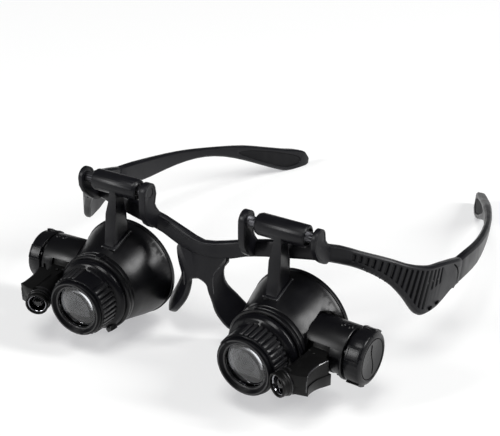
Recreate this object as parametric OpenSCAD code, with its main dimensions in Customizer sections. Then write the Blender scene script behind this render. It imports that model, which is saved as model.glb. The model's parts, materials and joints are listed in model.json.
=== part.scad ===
// Spectacle-style double magnifier with lamps, standing on a table as it rests.
// Units are millimetres. +Z is up, the lenses face -Y, +X is the wearer's left.
// Inside an eyepiece the X axis points outward and -Y points out through the lens.
// The frame's own coordinates are leaned about the rods, so its shape is drawn upright.

/* [Stance] */
// Height of the pivot rods above the table
rod_height = 53; // [48:0.1:60]
// Distance from the rods back to the middle of the whole object
origin_setback = 61.35; // [50:0.05:70]
// Width of the frame across its end pieces
frame_width = 143.4; // [138:0.2:150]
// Length of the temples from their joints to the tips, along the frame
temple_len = 104.2; // [95:0.1:115]
// How far the frame leans back when it stands on its eyecups and temple tips
frame_lean = 15.5; // [0:0.5:25]
// Outward place of the left eyepiece, measured from the middle of its rod
slide_place_left = 0.6; // [-2:0.1:2]
// Outward place of the right eyepiece, measured from the middle of its rod
slide_place_right = -0.6; // [-2:0.1:2]

/* [Rods and ears] */
// Radius of each pivot rod
rod_r = 1.7; // [1:0.05:2.5]
// Radial running clearance of the rod in its ears and sleeve
rod_clear = 0.05; // [0.01:0.01:0.1]
// Distance from the middle plane to the facing side of the inner ear
ear_inner_x = 19.9; // [16:0.1:24]
// Distance from the middle plane to the facing side of the outer ear
ear_outer_x = 43.2; // [38:0.1:48]
// Thickness of each inner ear along the rod
ear_t = 2.1; // [1.5:0.1:4]
// Thickness of each outer ear along the rod
outer_ear_t = 1.5; // [1.2:0.1:3]
// Radius of the rounded top of each ear
ear_r = 3.3; // [3:0.1:5]
// Radius of the rod's rivet head
rod_head_r = 2.4; // [1.9:0.1:3.5]
// Thickness of the rod's rivet head
rod_head_t = 0.7; // [0.4:0.1:1.5]
// Closed end left in the outer ear beyond the rod
ear_wall = 0.5; // [0.3:0.1:1]

/* [Hanger] */
// Radius of the sleeve that turns and slides on the rod
sleeve_r = 3.6; // [2.8:0.1:4.5]
// Length of the sleeve
sleeve_len = 17.6; // [12:0.1:20]
// Depth of the ring recess in each end of the sleeve
sleeve_recess = 0.8; // [0.3:0.1:2]
// Width of the hanging arm along the rod
arm_w = 3.6; // [2.5:0.1:5]
// Extra margin of the arm's seat plate
seat_margin = 0.5; // [0.2:0.1:1.5]
// Thickness of the arm's seat plate
seat_t = 0.7; // [0.4:0.1:1.5]

/* [Eyecup] */
// Drop from the rod to the optical axis
axis_drop = 35; // [30:0.1:40]
// Outward offset of the optical axis from the middle of the sleeve
axis_offset = 2.4; // [0:0.1:4]
// Angle by which each eyepiece looks toward the nose
toe_in = 3; // [0:0.5:8]
// Radius of the rim on the eye side
rim_r = 18; // [15:0.1:20]
// Distance of the rim behind the rod
rim_back = 7.8; // [5:0.1:10]
// Width of the rim band
rim_band = 1.4; // [0.8:0.1:3]
// Radius of the cone where it meets the collar
cone_front_r = 13.4; // [12:0.1:15]
// Distance from the rod to the front of the collar
collar_front = 13.7; // [12:0.1:16]
// Wall thickness of the eyecup
cup_wall = 1.6; // [1.2:0.1:2.5]

/* [Lens barrel] */
// Radius of the barrel's rounded shoulder
shoulder_r = 12.4; // [11:0.1:13]
// Distance from the rod to the front of the shoulder
shoulder_front = 17; // [15:0.1:19]
// Radius of the barrel between its ribs
barrel_r = 10.2; // [9:0.1:11]
// Height of the grip ribs
barrel_rib_h = 0.45; // [0.2:0.05:0.8]
// Ribs in each of the two grip groups
barrel_ribs = 13; // [6:1:18]
// Angle between neighbouring ribs
barrel_rib_pitch = 6.8; // [4:0.1:10]
// Distance from the rod to the front of the barrel
barrel_front = 24; // [22:0.1:27]
// Turned place of the left barrel's ribs, from the top toward the outer side
rib_turn_left = 31; // [-180:1:180]
// Turned place of the right barrel's ribs, from the top toward the outer side
rib_turn_right = -80; // [-180:1:180]
// Radius of the barrel's spigot in the collar
spigot_r = 11.25; // [10:0.05:12]
// Radial running clearance of the spigot and of the bayonet lugs
spigot_clear = 0.06; // [0.01:0.01:0.1]
// Radius of the lens disc
lens_r = 8.2; // [6:0.1:9]
// Thickness of the lens at its flat rim
lens_edge_t = 1.8; // [1:0.1:3]
// Radius of curvature of both lens faces
lens_curve_r = 30; // [20:1:60]
// Radius of the clear opening in the bezel
bezel_open_r = 7.3; // [5:0.1:8]
// Outer radius of the bezel
bezel_r = 9.8; // [8:0.1:11]
// Length of the bezel in front of the barrel
bezel_len = 1.6; // [1:0.1:3]

/* [Battery tube] */
// Height of the tube's axis above the optical axis
tube_up = 1.4; // [-2:0.1:4]
// Distance of the tube's axis in front of the rod
tube_fwd = 1.6; // [-2:0.1:4]
// Outer radius of the tube
tube_r = 8.7; // [7:0.1:10]
// Wall thickness of the tube's outer shell
tube_wall = 0.6; // [0.4:0.05:1.2]
// Outward distance from the optical axis to the tube's inner end
tube_start = 11.6; // [10.5:0.1:12.5]
// Outward distance from the optical axis to the tube's seam with the cap
tube_end = 24.8; // [22:0.1:27]
// Radius of the arched opening in the eyecup around the tube
arch_r = 9.7; // [9:0.1:11]
// Outer radius of the inner battery barrel
core_r = 6.5; // [6.2:0.05:7]
// Radius of the battery bore
bore_r = 5.95; // [5.85:0.05:6.2]
// Angle of the lamp window's upper edge above straight ahead
window_top = 31; // [10:1:60]
// Angle of the lamp window's lower edge below straight ahead
window_low = 78; // [40:1:100]
// Outward distance from the optical axis to the window's outer edge
window_end = 20.5; // [18:0.1:23]

/* [Battery cap] */
// Radius of the cap between its grip pads
cap_r = 8.6; // [8:0.1:10]
// Height of the grip pads
cap_pad_h = 0.4; // [0.2:0.1:1]
// Number of grip pads
cap_pads = 4; // [4:1:8]
// Angle that each grip pad spans
cap_pad_span = 30; // [20:1:40]
// Angle from the top, toward the front, where a grip pad starts
cap_pad_turn = 42; // [0:1:90]
// Width of the groove between the tube and the cap's flange
cap_neck = 0.8; // [0.3:0.1:1.5]
// Length of the cap
cap_len = 6.2; // [4:0.1:8]
// Gap between the tube and the cap
cap_gap = 0.15; // [0.05:0.05:0.5]
// Radius of one button cell
cell_r = 5.8; // [5:0.1:6]
// Thickness of one button cell
cell_t = 3.05; // [2:0.05:4]
// Number of button cells in each tube
cell_count = 3; // [1:1:4]

/* [Lamp] */
// Outward distance from the optical axis to the middle of the lamp's front
lamp_out = 13.6; // [13:0.1:16]
// Height of the lamp's axis above the optical axis
lamp_up = -0.3; // [-5:0.1:2]
// Distance from the rod to the front of the lamp
lamp_front = 28; // [26:0.1:30]
// Radius of the lamp head
lamp_r = 4; // [3.6:0.1:4.5]
// Angle by which the lamp head is turned in toward the lens axis
lamp_toe = 22; // [0:1:30]
// Length of the lamp head behind its front
lamp_len = 10.3; // [8:0.1:12]
// Swivel at which the left lamp rests, upward
lamp_tilt_left = 1.5; // [-10:0.5:10]
// Swivel at which the right lamp rests, upward
lamp_tilt_right = -1.5; // [-10:0.5:10]
// Radial clearance between the lamp's knuckle and the battery barrel
knuckle_clear = 0.08; // [0.02:0.01:0.1]
// Outward distance from the optical axis to the knuckle's inner side
knuckle_start = 14.5; // [13:0.1:16]
// Radius of the light-emitting diode
led_r = 2.2; // [1.5:0.1:2.5]
// Thickness of the thumb fin
fin_t = 1.5; // [1:0.1:2.5]

/* [Front frame] */
// Depth of the grooves between the end pieces' ribs
groove_depth = 0.7; // [0.3:0.1:1.2]
// Ribs on each end piece
end_ribs = 17; // [8:1:20]
// Plain strip above the ribs
rib_lip = 1.2; // [0.6:0.1:2]
// Plain strip below the ribs
rib_border = 2.2; // [0.6:0.1:3]
// Width of the bevel along the frame's edges
frame_bevel = 0.7; // [0.3:0.1:1.2]
// Place along the frame's outline, counted in its keys, where the ribs start
rib_first = 6.6; // [6:0.1:8]
// Place along the frame's outline where the ribs end
rib_last = 11.1; // [10:0.1:12]
// Place along the frame's outline where the ribs start to shorten
rib_corner = 10.2; // [9:0.1:11]
// Place of the end piece's rear end behind the rods, along the frame
frame_end_y = 54.3; // [52:0.1:56]
// How far the frame's outer face swells between its edges
frame_crown = 0.25; // [0.1:0.05:0.5]
// Thickness of the nose wings
wing_t = 2; // [1.4:0.1:3]

/* [Temples] */
// Distance of the temple hinge's pin inward from the frame's side
pin_in = 5.5; // [4.5:0.1:7]
// Distance of the temple hinge's pin ahead of the end piece's rear end
pin_ahead = 1.7; // [1.2:0.1:2.5]
// Radius of the hinge knuckles
knuckle_r = 2.1; // [1.6:0.1:3]
// Level of the hinge's upper end, from the rods, in the frame's coordinates
knuckle_top = -11.5; // [-14:0.1:-10]
// Level of the hinge's lower end
knuckle_low = -16.7; // [-18:0.1:-15]
// Gap between neighbouring knuckles
knuckle_gap = 0.12; // [0.05:0.01:0.3]
// Radius of the hinge screw's shank
screw_r = 0.7; // [0.5:0.05:1]
// Radial running clearance of the hinge screw
screw_clear = 0.04; // [0.01:0.01:0.1]
// Gap between the end piece and the temple
temple_gap = 0.3; // [0.1:0.05:0.6]
// Place along the temple, counted in its keys, where the pad starts
pad_from = 6.6; // [6:0.1:8]
// Place along the temple where the pad ends
pad_to = 10.3; // [9:0.1:10.8]
// Depth of the pads below the temple's faces
pad_sink = 0.25; // [0:0.05:0.6]

/* [Hidden] */
$fn = 64;

far = 300;
pin_x = frame_width / 2 - pin_in;
pin_y = frame_end_y - pin_ahead;
rod_bore_r = rod_r + rod_clear;
rod_len = ear_outer_x - ear_inner_x + ear_t + outer_ear_t - ear_wall - 0.1;
rod_mid_x = (ear_inner_x + ear_outer_x) / 2;
sleeve_mid_x = rod_mid_x - 0.35;
collar_bore_r = spigot_r + spigot_clear;
lug_r = spigot_r + 0.75;
core_out = tube_end + 2;
cap_end = tube_end + cap_gap + cap_len;
knuckle_in_r = core_r + knuckle_clear;
knuckle_out_r = tube_r - tube_wall - 0.12;
knuckle_end = window_end - 0.2;
lamp_rear = lamp_front - lamp_len;
lens_back = barrel_front - 0.6 - lens_edge_t;
clear_r = bezel_open_r - 0.1;
lens_dome = lens_curve_r - sqrt(lens_curve_r * lens_curve_r - clear_r * clear_r);
knuckle_h = (knuckle_top - knuckle_low) / 3;

// Front outline of one half of the frame seen from above, with its top and lower edges:
// [share of the half width, y, top z, lower z, thickness, inward tuck of the lower edge]
frame_shape = [
  [0, 6.8, -12.6, -17.8, 2.8, 0],
  [0.1116, 7.5, -10.9, -17.2, 2.8, 0],
  [0.2232, 7.2, -8.3, -14.1, 2.8, 0],
  [0.3347, 5.9, -6.1, -11.8, 2.8, 0],
  [0.4463, 5.8, -4.5, -10.2, 2.8, 0],
  [0.5579, 6.9, -3.6, -9.0, 2.8, 0.4],
  [0.6555, 9.3, -3.0, -8.9, 2.8, 1.2],
  [0.7462, 13.6, -4.1, -10.1, 2.7, 2.2],
  [0.8368, 19.5, -5.5, -13.2, 2.6, 2.5],
  [0.9121, 25.5, -7.2, -18.4, 2.6, 2.4],
  [0.9623, 32.5, -7.9, -24.6, 2.6, 1.5],
  [0.9819, 40.5, -7.8, -23.4, 2.7, 0.5],
  [0.993, 48.5, -8.0, -18.9, 2.9, 0],
  [1, frame_end_y, -8.3, -17.3, 3.0, 0]
];
frame_keys = [
  for (k = frame_shape)
    [k[0] * frame_width / 2, k[1], k[2], k[3], k[4], k[5]]
];
frame_end_key = len(frame_keys) - 1;
rib_step = (rib_last - rib_first) / end_ribs;

// Edges of the nose piece from the middle plane down to the wing's tip:
// [x, y, z of the edge by the nose, x, y, z of the edge by the lens opening]
wing_keys = [
  [0, 6.9, -25.8, 0, 7.1, -15.0],
  [1.4, 6.9, -26.1, 5.6, 7.9, -14.2],
  [2.6, 6.9, -26.6, 9.6, 7.4, -15.8],
  [3.6, 7.3, -28.0, 9.4, 6.9, -18.8],
  [4.3, 7.9, -29.8, 9.1, 8.6, -23.0],
  [5.1, 8.6, -31.6, 9.6, 11.6, -26.6],
  [6.0, 9.2, -33.6, 11.6, 14.6, -29.4],
  [7.3, 9.6, -36.0, 14.4, 17.9, -33.0],
  [9.2, 10.5, -38.3, 17.4, 21.0, -36.8],
  [11.4, 11.9, -40.6, 19.4, 22.8, -39.8],
  [13.6, 14.0, -42.2, 19.0, 21.4, -42.0],
  [15.3, 16.2, -43.2, 17.5, 19.3, -43.1]
];

// Temple outline: [share of the length, middle as a share of the half width,
// top z, lower z, thickness]
temple_shape = [
  [0, 0.9777, -8.3, -17.2, 3.0],
  [0.0902, 0.9749, -7.2, -15.9, 3.0],
  [0.19, 0.9665, -6.3, -14.3, 2.9],
  [0.2879, 0.947, -5.2, -11.6, 2.7],
  [0.3858, 0.9163, -4.2, -9.0, 2.6],
  [0.4837, 0.8759, -3.6, -7.4, 2.7],
  [0.5797, 0.8271, -3.1, -7.5, 3.0],
  [0.6785, 0.7713, -2.8, -9.2, 3.5],
  [0.7802, 0.7127, -3.5, -11.7, 3.9],
  [0.8772, 0.6555, -4.3, -13.9, 4.0],
  [0.9395, 0.6151, -4.5, -13.6, 3.9],
  [0.9779, 0.5886, -5.4, -12.6, 3.3],
  [1, 0.5718, -7.8, -11.0, 2.0]
];
temple_keys = [
  for (k = temple_shape)
    [frame_end_y + temple_gap + k[0] * temple_len, k[1] * frame_width / 2, k[2], k[3], k[4]]
];

// Curve through a table of keys: t counts the keys, and every column follows it
function key_at(keys, i) = keys[max(0, min(len(keys) - 1, i))];
function ease(a, b, c, d, u) =
  b + 0.5 * u * ((c - a) + u * ((2 * a - 5 * b + 4 * c - d) + u * (3 * (b - c) + d - a)));
function curve(keys, t) =
  let (i = max(0, min(floor(t), len(keys) - 2)))
  ease(key_at(keys, i - 1), key_at(keys, i), key_at(keys, i + 1), key_at(keys, i + 2), t - i);

// Closed solid through rings of points, all rings with the same number of points
module skin(rings) {
  n = len(rings[0]);
  m = len(rings);
  sides = [
    for (j = [0 : m - 2], i = [0 : n - 1])
      each [
        [j * n + i, j * n + (i + 1) % n, (j + 1) * n + i],
        [j * n + (i + 1) % n, (j + 1) * n + (i + 1) % n, (j + 1) * n + i]
      ]
  ];
  first = [[for (i = [n - 1 : -1 : 0]) i]];
  last = [[for (i = [0 : n - 1]) (m - 1) * n + i]];
  polyhedron(points = [for (r = rings) each r], faces = concat(first, sides, last), convexity = 6);
}

// Rotates a revolved shape so that it turns about the optical axis and faces -Y
module about_optical_axis() {
  rotate([90, 0, 0]) children();
}

// Rotates a revolved shape so that it turns about the tube's axis and points outward
module about_tube_axis() {
  translate([0, -tube_fwd, tube_up]) rotate([0, 90, 0]) children();
}

// Places a shape drawn in the frame's own coordinates
module leaned() {
  translate([0, -origin_setback, rod_height]) rotate([-frame_lean, 0, 0]) children();
}

// Places a shape drawn about the rod's axis in table coordinates, for one side
module at_rod(side) {
  translate([0, -origin_setback, rod_height])
    mirror([side > 0 ? 0 : 1, 0, 0]) children();
}

// Places a shape drawn about the optical axis, for one side
module at_eye(side) {
  place = side > 0 ? slide_place_left : slide_place_right;
  translate([0, -origin_setback, rod_height - axis_drop])
    mirror([side > 0 ? 0 : 1, 0, 0])
      translate([sleeve_mid_x + place + axis_offset, 0, 0])
        rotate([0, 0, -toe_in]) children();
}

// Full outline from the right hinge to the left hinge
frame_outline = concat(
  [for (i = [frame_end_key : -1 : 1]) let (k = frame_keys[i]) [-k[0], k[1], k[2], k[3], k[4], k[5]]],
  frame_keys
);

// 1 inside a groove between two ribs, 0 on a rib and outside the ribbed panel
function groove_at(a) =
  let (u = (a - rib_first) / rib_step, f = u - floor(u))
  (a < rib_first || a > rib_last) ? 0 : (f > 0.1 && f < 0.45) ? 1 : 0;

// Lower limit of the ribs: it follows the border, then jumps up beside the smooth panel
function rib_floor(a, top, low) =
  a < rib_corner ? low + rib_border : top - 8.6 + 2.6 * (a - rib_corner);

function frame_ring(a, side) =
  let (
    k = curve(frame_outline, frame_end_key + side * a),
    d = curve(frame_outline, frame_end_key + side * a + 0.05)
      - curve(frame_outline, frame_end_key + side * a - 0.05),
    size = norm([d[0], d[1]]),
    nx = -d[1] / size,
    ny = d[0] / size,
    top = k[2],
    low = k[3],
    th = k[4],
    tuck = k[5],
    e = frame_bevel,
    g = groove_depth * groove_at(a),
    fl = max(low + e + 0.4, min(top - rib_lip - 1, rib_floor(a, top, low))),
    profile = [
      [0, low + e],
      [0, fl],
      [g, fl + 0.3],
      [g, top - rib_lip - 0.3],
      [0, top - rib_lip],
      [0, top - e],
      [e, top],
      [th - e, top],
      [th, top - e],
      [th, low + e],
      [th - e, low],
      [e, low]
    ]
  )
  [for (i = [0 : len(profile) - 1])
    let (
      q = profile[i],
      v = (q[1] - low) / (top - low),
      crown = i < 6 ? frame_crown * 4 * v * (1 - v) : 0,
      u = q[0] + tuck * (1 - v) - crown
    )
    [k[0] + nx * u, k[1] + ny * u, q[1]]];

// Places along one half where the frame gets a ring of points
half_places = concat(
  [for (a = [0.5 : 0.5 : rib_first - 0.1]) a],
  [for (i = [0 : end_ribs - 1], f = [0, 0.12, 0.43, 0.55]) rib_first + (i + f) * rib_step],
  [rib_last, 11.5, 12, 12.5, 13]
);

module frame_band() {
  n = len(half_places);
  rings = concat(
    [for (i = [n - 1 : -1 : 0]) frame_ring(half_places[i], -1)],
    [frame_ring(0, 1)],
    [for (a = half_places) frame_ring(a, 1)]
  );
  skin(rings);
}

// Both wings and the bridge between them as one strip, from the right tip to the left tip
wing_tip = len(wing_keys) - 1;
wing_strip = concat(
  [for (i = [wing_tip : -1 : 1]) let (k = wing_keys[i]) [-k[0], k[1], k[2], -k[3], k[4], k[5]]],
  wing_keys
);

function wing_ring(t) =
  let (
    k = curve(wing_strip, t),
    m = curve(wing_strip, t + 0.05) - curve(wing_strip, t - 0.05),
    a = [k[0], k[1], k[2]],
    b = [k[3], k[4], k[5]],
    d = (b - a) / norm(b - a),
    along = [m[0] + m[3], m[1] + m[4], m[2] + m[5]],
    c = cross(d, along),
    n = c / norm(c),
    face = 0.2,
    back = face + wing_t,
    e = 0.5
  )
  [
    a + n * face + d * e,
    b + n * face - d * e,
    b + n * (face + 0.3 * wing_t),
    b + n * (face + 0.7 * wing_t),
    b + n * back - d * e,
    a + n * back + d * e,
    a + n * (face + 0.7 * wing_t),
    a + n * (face + 0.3 * wing_t)
  ];

module nose_wings() {
  places = [0.02, each [for (i = [1 : 4 * wing_tip - 1]) i / 2], 2 * wing_tip - 0.02];
  skin([for (t = places) wing_ring(t)]);
}

// Side outline of an ear: y and z from the rod's axis
module ear_outline(outer) {
  circle(r = ear_r);
  if (outer)
    polygon([
      [-ear_r, 0], [-3.2, -2.4], [-2, -5], [-0.2, -7.3], [2.2, -9.3], [4.6, -10.5], [7.5, -10.3],
      [8.6, -8], [8.4, -5.5], [6.8, -4.5], [4.9, -3.4], [3.7, -1.9], [ear_r, 0]
    ]);
  else
    polygon([
      [-ear_r, 0], [-3.4, -3], [-3.4, -5.5], [-2.9, -8.2], [-1.7, -10.8], [0.6, -12.9], [3, -13.8],
      [5.2, -13.6], [5.6, -9.6], [3.5, -6.7], [2.7, -4.9], [3.2, -3], [3.6, -1.6], [ear_r, 0]
    ]);
}

// One ear as a plate across the rod, from x = 0 to its thickness
module ear_plate(outer) {
  rotate([90, 0, 90]) linear_extrude(outer ? outer_ear_t : ear_t) ear_outline(outer);
}

module ears(side) {
  at_rod(side) {
    difference() {
      translate([ear_inner_x - ear_t, 0, 0]) ear_plate(false);
      translate([ear_inner_x - ear_t - 1, 0, 0]) rotate([0, 90, 0])
        cylinder(r = rod_bore_r, h = ear_t + 2);
    }
    difference() {
      translate([ear_outer_x, 0, 0]) ear_plate(true);
      translate([ear_outer_x - 1, 0, 0])
        rotate([0, 90, 0]) cylinder(r = rod_bore_r, h = outer_ear_t + 1 - ear_wall);
    }
  }
}

// Frame's hinge knuckles, upper and lower
module frame_knuckles() {
  for (level = [0, 2]) {
    z = knuckle_low + level * knuckle_h;
    difference() {
      union() {
        translate([pin_x, pin_y, z]) cylinder(r = knuckle_r, h = knuckle_h - knuckle_gap);
        translate([pin_x, pin_y - 4.6, z]) cube([3.4, 5.6, knuckle_h - knuckle_gap]);
      }
      translate([pin_x, pin_y, z - 1]) cylinder(r = screw_r + screw_clear, h = knuckle_h + 2);
    }
  }
}

module front_frame() {
  color("#23242a") {
    leaned() {
      frame_band();
      nose_wings();
      frame_knuckles();
      mirror([1, 0, 0]) frame_knuckles();
    }
    ears(1);
    ears(-1);
  }
}

function temple_ring(t) =
  let (
    k = curve(temple_keys, t),
    h = k[4] / 2,
    e = min(0.7, h * 0.6, (k[2] - k[3]) * 0.3),
    top = k[2],
    low = k[3]
  )
  [
    [k[1] - h, k[0], low + e], [k[1] - h + e, k[0], low],
    [k[1] + h - e, k[0], low], [k[1] + h, k[0], low + e],
    [k[1] + h, k[0], top - e], [k[1] + h - e, k[0], top],
    [k[1] - h + e, k[0], top], [k[1] - h, k[0], top - e]
  ];

// Rubber pad set through the temple tip: it narrows to both ends like a long leaf
function pad_ring(t, grow, wide) =
  let (
    k = curve(temple_keys, t),
    u = (t - (pad_from + pad_to) / 2) / ((pad_to - pad_from) / 2),
    half = max(0.35, 0.33 * (k[2] - k[3]) * sqrt(max(0, 1 - u * u))) + grow,
    mid = (k[2] + k[3]) / 2,
    h = k[4] / 2 + wide
  )
  [
    [k[1] - h, k[0], mid - half], [k[1] + h, k[0], mid - half],
    [k[1] + h, k[0], mid + half], [k[1] - h, k[0], mid + half]
  ];

module pad_body(grow, wide) {
  steps = 14;
  skin([for (i = [0 : steps])
    let (a = 180 * i / steps, u = -cos(a))
    pad_ring((pad_from + pad_to) / 2 + u * (pad_to - pad_from) / 2, grow, wide)]);
}

// The temple's own hinge knuckle with the lug that joins it to the temple
module temple_knuckle() {
  z = knuckle_low + knuckle_h;
  translate([pin_x, pin_y, z]) cylinder(r = knuckle_r, h = knuckle_h - knuckle_gap);
  translate([0, 0, z]) linear_extrude(knuckle_h - knuckle_gap)
    polygon([
      [pin_x - 1.9, pin_y + 0.9], [pin_x + 2.05, pin_y + 0.4], [pin_x + 2.15, pin_y + 2],
      [pin_x + 3.3, pin_y + 2.1], [pin_x + 3.3, pin_y + 7], [pin_x + 1.2, pin_y + 5]
    ]);
}

module temple(side) {
  last = len(temple_keys) - 1;
  color("#26272d")
    intersection() {
      leaned() mirror([side > 0 ? 0 : 1, 0, 0])
        difference() {
          union() {
            skin([for (t = [0 : 0.5 : last]) temple_ring(t)]);
            temple_knuckle();
          }
          pad_body(0.05, 1);
          translate([pin_x, pin_y, knuckle_low]) cylinder(r = screw_r + screw_clear, h = 3 * knuckle_h);
        }
      translate([-far, -far, 0]) cube([2 * far, 2 * far, far]);
    }
}

module temple_pad(side) {
  color("#17171a")
    leaned() mirror([side > 0 ? 0 : 1, 0, 0]) pad_body(0, -pad_sink);
}

module temple_screw(side) {
  color("#77797d")
    leaned() mirror([side > 0 ? 0 : 1, 0, 0])
      translate([pin_x, pin_y, knuckle_low]) {
        difference() {
          union() {
            cylinder(r = screw_r, h = 3 * knuckle_h - knuckle_gap + 0.02);
            translate([0, 0, 3 * knuckle_h - knuckle_gap + 0.01]) cylinder(r1 = 1.5, r2 = 1.2, h = 0.7);
          }
          translate([-2, -0.2, 3 * knuckle_h - knuckle_gap + 0.4]) cube([4, 0.4, 1]);
        }
      }
}

module pivot_rod(side) {
  color("#4a4b50")
    at_rod(side)
      translate([ear_inner_x - ear_t - 0.1, 0, 0]) rotate([0, 90, 0])
        rotate_extrude()
          polygon([
            [0, -rod_head_t], [rod_head_r * 0.6, -rod_head_t], [rod_head_r, -rod_head_t * 0.35],
            [rod_head_r, 0], [rod_r, 0],
            [rod_r, rod_len - 0.3], [rod_r - 0.3, rod_len], [0, rod_len]
          ]);
}

// Height of the cone's outer surface above the optical axis, at a distance in front of the rod
function cone_r(g) = lookup(g, [
  [-rim_back + rim_band, rim_r - 0.35], [-4, 17.3], [-2, 16.8], [0, 16.2], [2, 15.6],
  [4, 15], [6, 14.4], [8, 13.9], [10, cone_front_r]
]);

// Seat line under the arm, in table coordinates from the rod: [front y, z], [rear y, z]
seat_front = [-7.4, -axis_drop + cone_r(7.4) - 0.15];
seat_rear = [1.8, -axis_drop + cone_r(-1.8) - 0.15];

module hanger(side) {
  place = side > 0 ? slide_place_left : slide_place_right;
  rise = seat_t + 0.35;
  color("#25262b")
    at_rod(side)
      translate([sleeve_mid_x + place, 0, 0]) {
        difference() {
          union() {
            translate([-sleeve_len / 2, 0, 0]) rotate([0, 90, 0])
              rotate_extrude()
                polygon([
                  [0, 0], [sleeve_r - 0.9, 0], [sleeve_r - 0.3, 0.5], [sleeve_r, 1.3],
                  [sleeve_r, sleeve_len - 0.5], [sleeve_r - 0.5, sleeve_len], [0, sleeve_len]
                ]);
            translate([-arm_w / 2, 0, 0]) rotate([90, 0, 90]) linear_extrude(arm_w)
              polygon([
                [-3.4, -1], [-3.5, -4], [-4.9, -9], [-5.9, -15],
                [seat_front[0] + 0.5, seat_front[1] + rise],
                [seat_rear[0] - 0.3, seat_rear[1] + rise], [1.2, -15.8], [0.8, -13.5], [0.7, -10],
                [0.3, -6],
                [0.6, -2.5], [1, -1]
              ]);
            translate([-arm_w / 2 - seat_margin, 0, 0]) rotate([90, 0, 90])
              linear_extrude(arm_w + 2 * seat_margin)
                polygon([
                  [seat_front[0], seat_front[1] + 0.35], [seat_rear[0] + 0.4, seat_rear[1] + 0.35],
                  [seat_rear[0] + 0.4, seat_rear[1] + rise], [seat_front[0], seat_front[1] + rise]
                ]);
          }
          translate([-sleeve_len / 2 - 1, 0, 0]) rotate([0, 90, 0])
            cylinder(r = rod_bore_r, h = sleeve_len + 2);
          for (x = [-sleeve_len / 2 - 1, sleeve_len / 2 - sleeve_recess])
            translate([x, 0, 0]) rotate([0, 90, 0]) cylinder(r = sleeve_r - 0.95, h = sleeve_recess + 1);
        }
      }
}

// Solid block of the cone's outside, before it is hollowed
module cone_outside() {
  about_optical_axis() rotate_extrude($fn = 96)
    polygon([
      [0, -rim_back], [rim_r, -rim_back], [rim_r, -rim_back + rim_band],
      [rim_r - 0.35, -rim_back + rim_band],
      [17.3, -4], [16.8, -2], [16.2, 0], [15.6, 2], [15, 4], [14.4, 6], [13.9, 8], [cone_front_r, 10],
      [cone_front_r - 0.35, 10.15], [cone_front_r - 0.35, 10.45], [cone_front_r + 0.1, 10.6],
      [cone_front_r + 0.1, 11.9], [cone_front_r - 0.3, 12.05], [cone_front_r - 0.3, 12.35],
      [cone_front_r + 0.15, 12.5], [cone_front_r + 0.15, collar_front - 0.3],
      [cone_front_r - 0.15, collar_front], [0, collar_front]
    ]);
}

// Seat under the arm: a low pad on top of the cone, drawn in table coordinates
module seat_pad() {
  translate([-axis_offset, 0, axis_drop]) translate([-arm_w / 2 - seat_margin, 0, 0])
    rotate([90, 0, 90]) linear_extrude(arm_w + 2 * seat_margin)
      polygon([
        [seat_front[0], seat_front[1] - 1], [seat_rear[0] + 0.4, seat_rear[1] - 1],
        [seat_rear[0] + 0.4, seat_rear[1] + 0.33], [seat_front[0], seat_front[1] + 0.33]
      ]);
}

module eyecup(side) {
  color("#1d1e22")
    at_eye(side)
      difference() {
        union() {
          difference() {
            cone_outside();
            about_optical_axis() rotate_extrude($fn = 96)
              polygon([
                [0, -rim_back - 1], [rim_r - 1.2, -rim_back - 1], [rim_r - 1.2, -rim_back + rim_band],
                [17.3 - cup_wall, -4], [16.2 - cup_wall, 0], [15 - cup_wall, 4], [lug_r + 0.35, 6.4],
                [lug_r + 0.35, 8.2], [collar_bore_r, 8.2], [collar_bore_r, collar_front + 1],
                [0, collar_front + 1]
              ]);
          }
          // Walled pocket that takes the battery tube
          intersection() {
            cone_outside();
            difference() {
              about_tube_axis() translate([0, 0, tube_start - 1.2]) cylinder(r = arch_r + 1.1, h = 14);
              about_optical_axis() translate([0, 0, -far]) cylinder(r = tube_start - 0.6, h = 2 * far);
              about_optical_axis() translate([0, 0, 6]) cylinder(r = lug_r + 0.35, h = 20);
            }
          }
          rotate([0, 0, toe_in]) seat_pad();
          // Index tab on the collar
          about_optical_axis() rotate([0, 0, 90 - (side > 0 ? -22 : -8)])
            translate([cone_front_r - 0.6, -1, 10.8]) cube([1.5, 2, collar_front - 11]);
        }
        // Room for the battery tube, open to the outer side
        about_tube_axis() translate([0, 0, tube_start]) cylinder(r = arch_r, h = 20);
        // Entry slots for the two bayonet lugs
        for (turn = [60, 240])
          about_optical_axis() rotate([0, 0, turn])
            translate([0, 0, 7]) rotate_extrude(angle = 26)
              translate([collar_bore_r - 1, 0])
                square([lug_r + 0.1 - collar_bore_r + 1, collar_front - 6]);
      }
}

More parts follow.
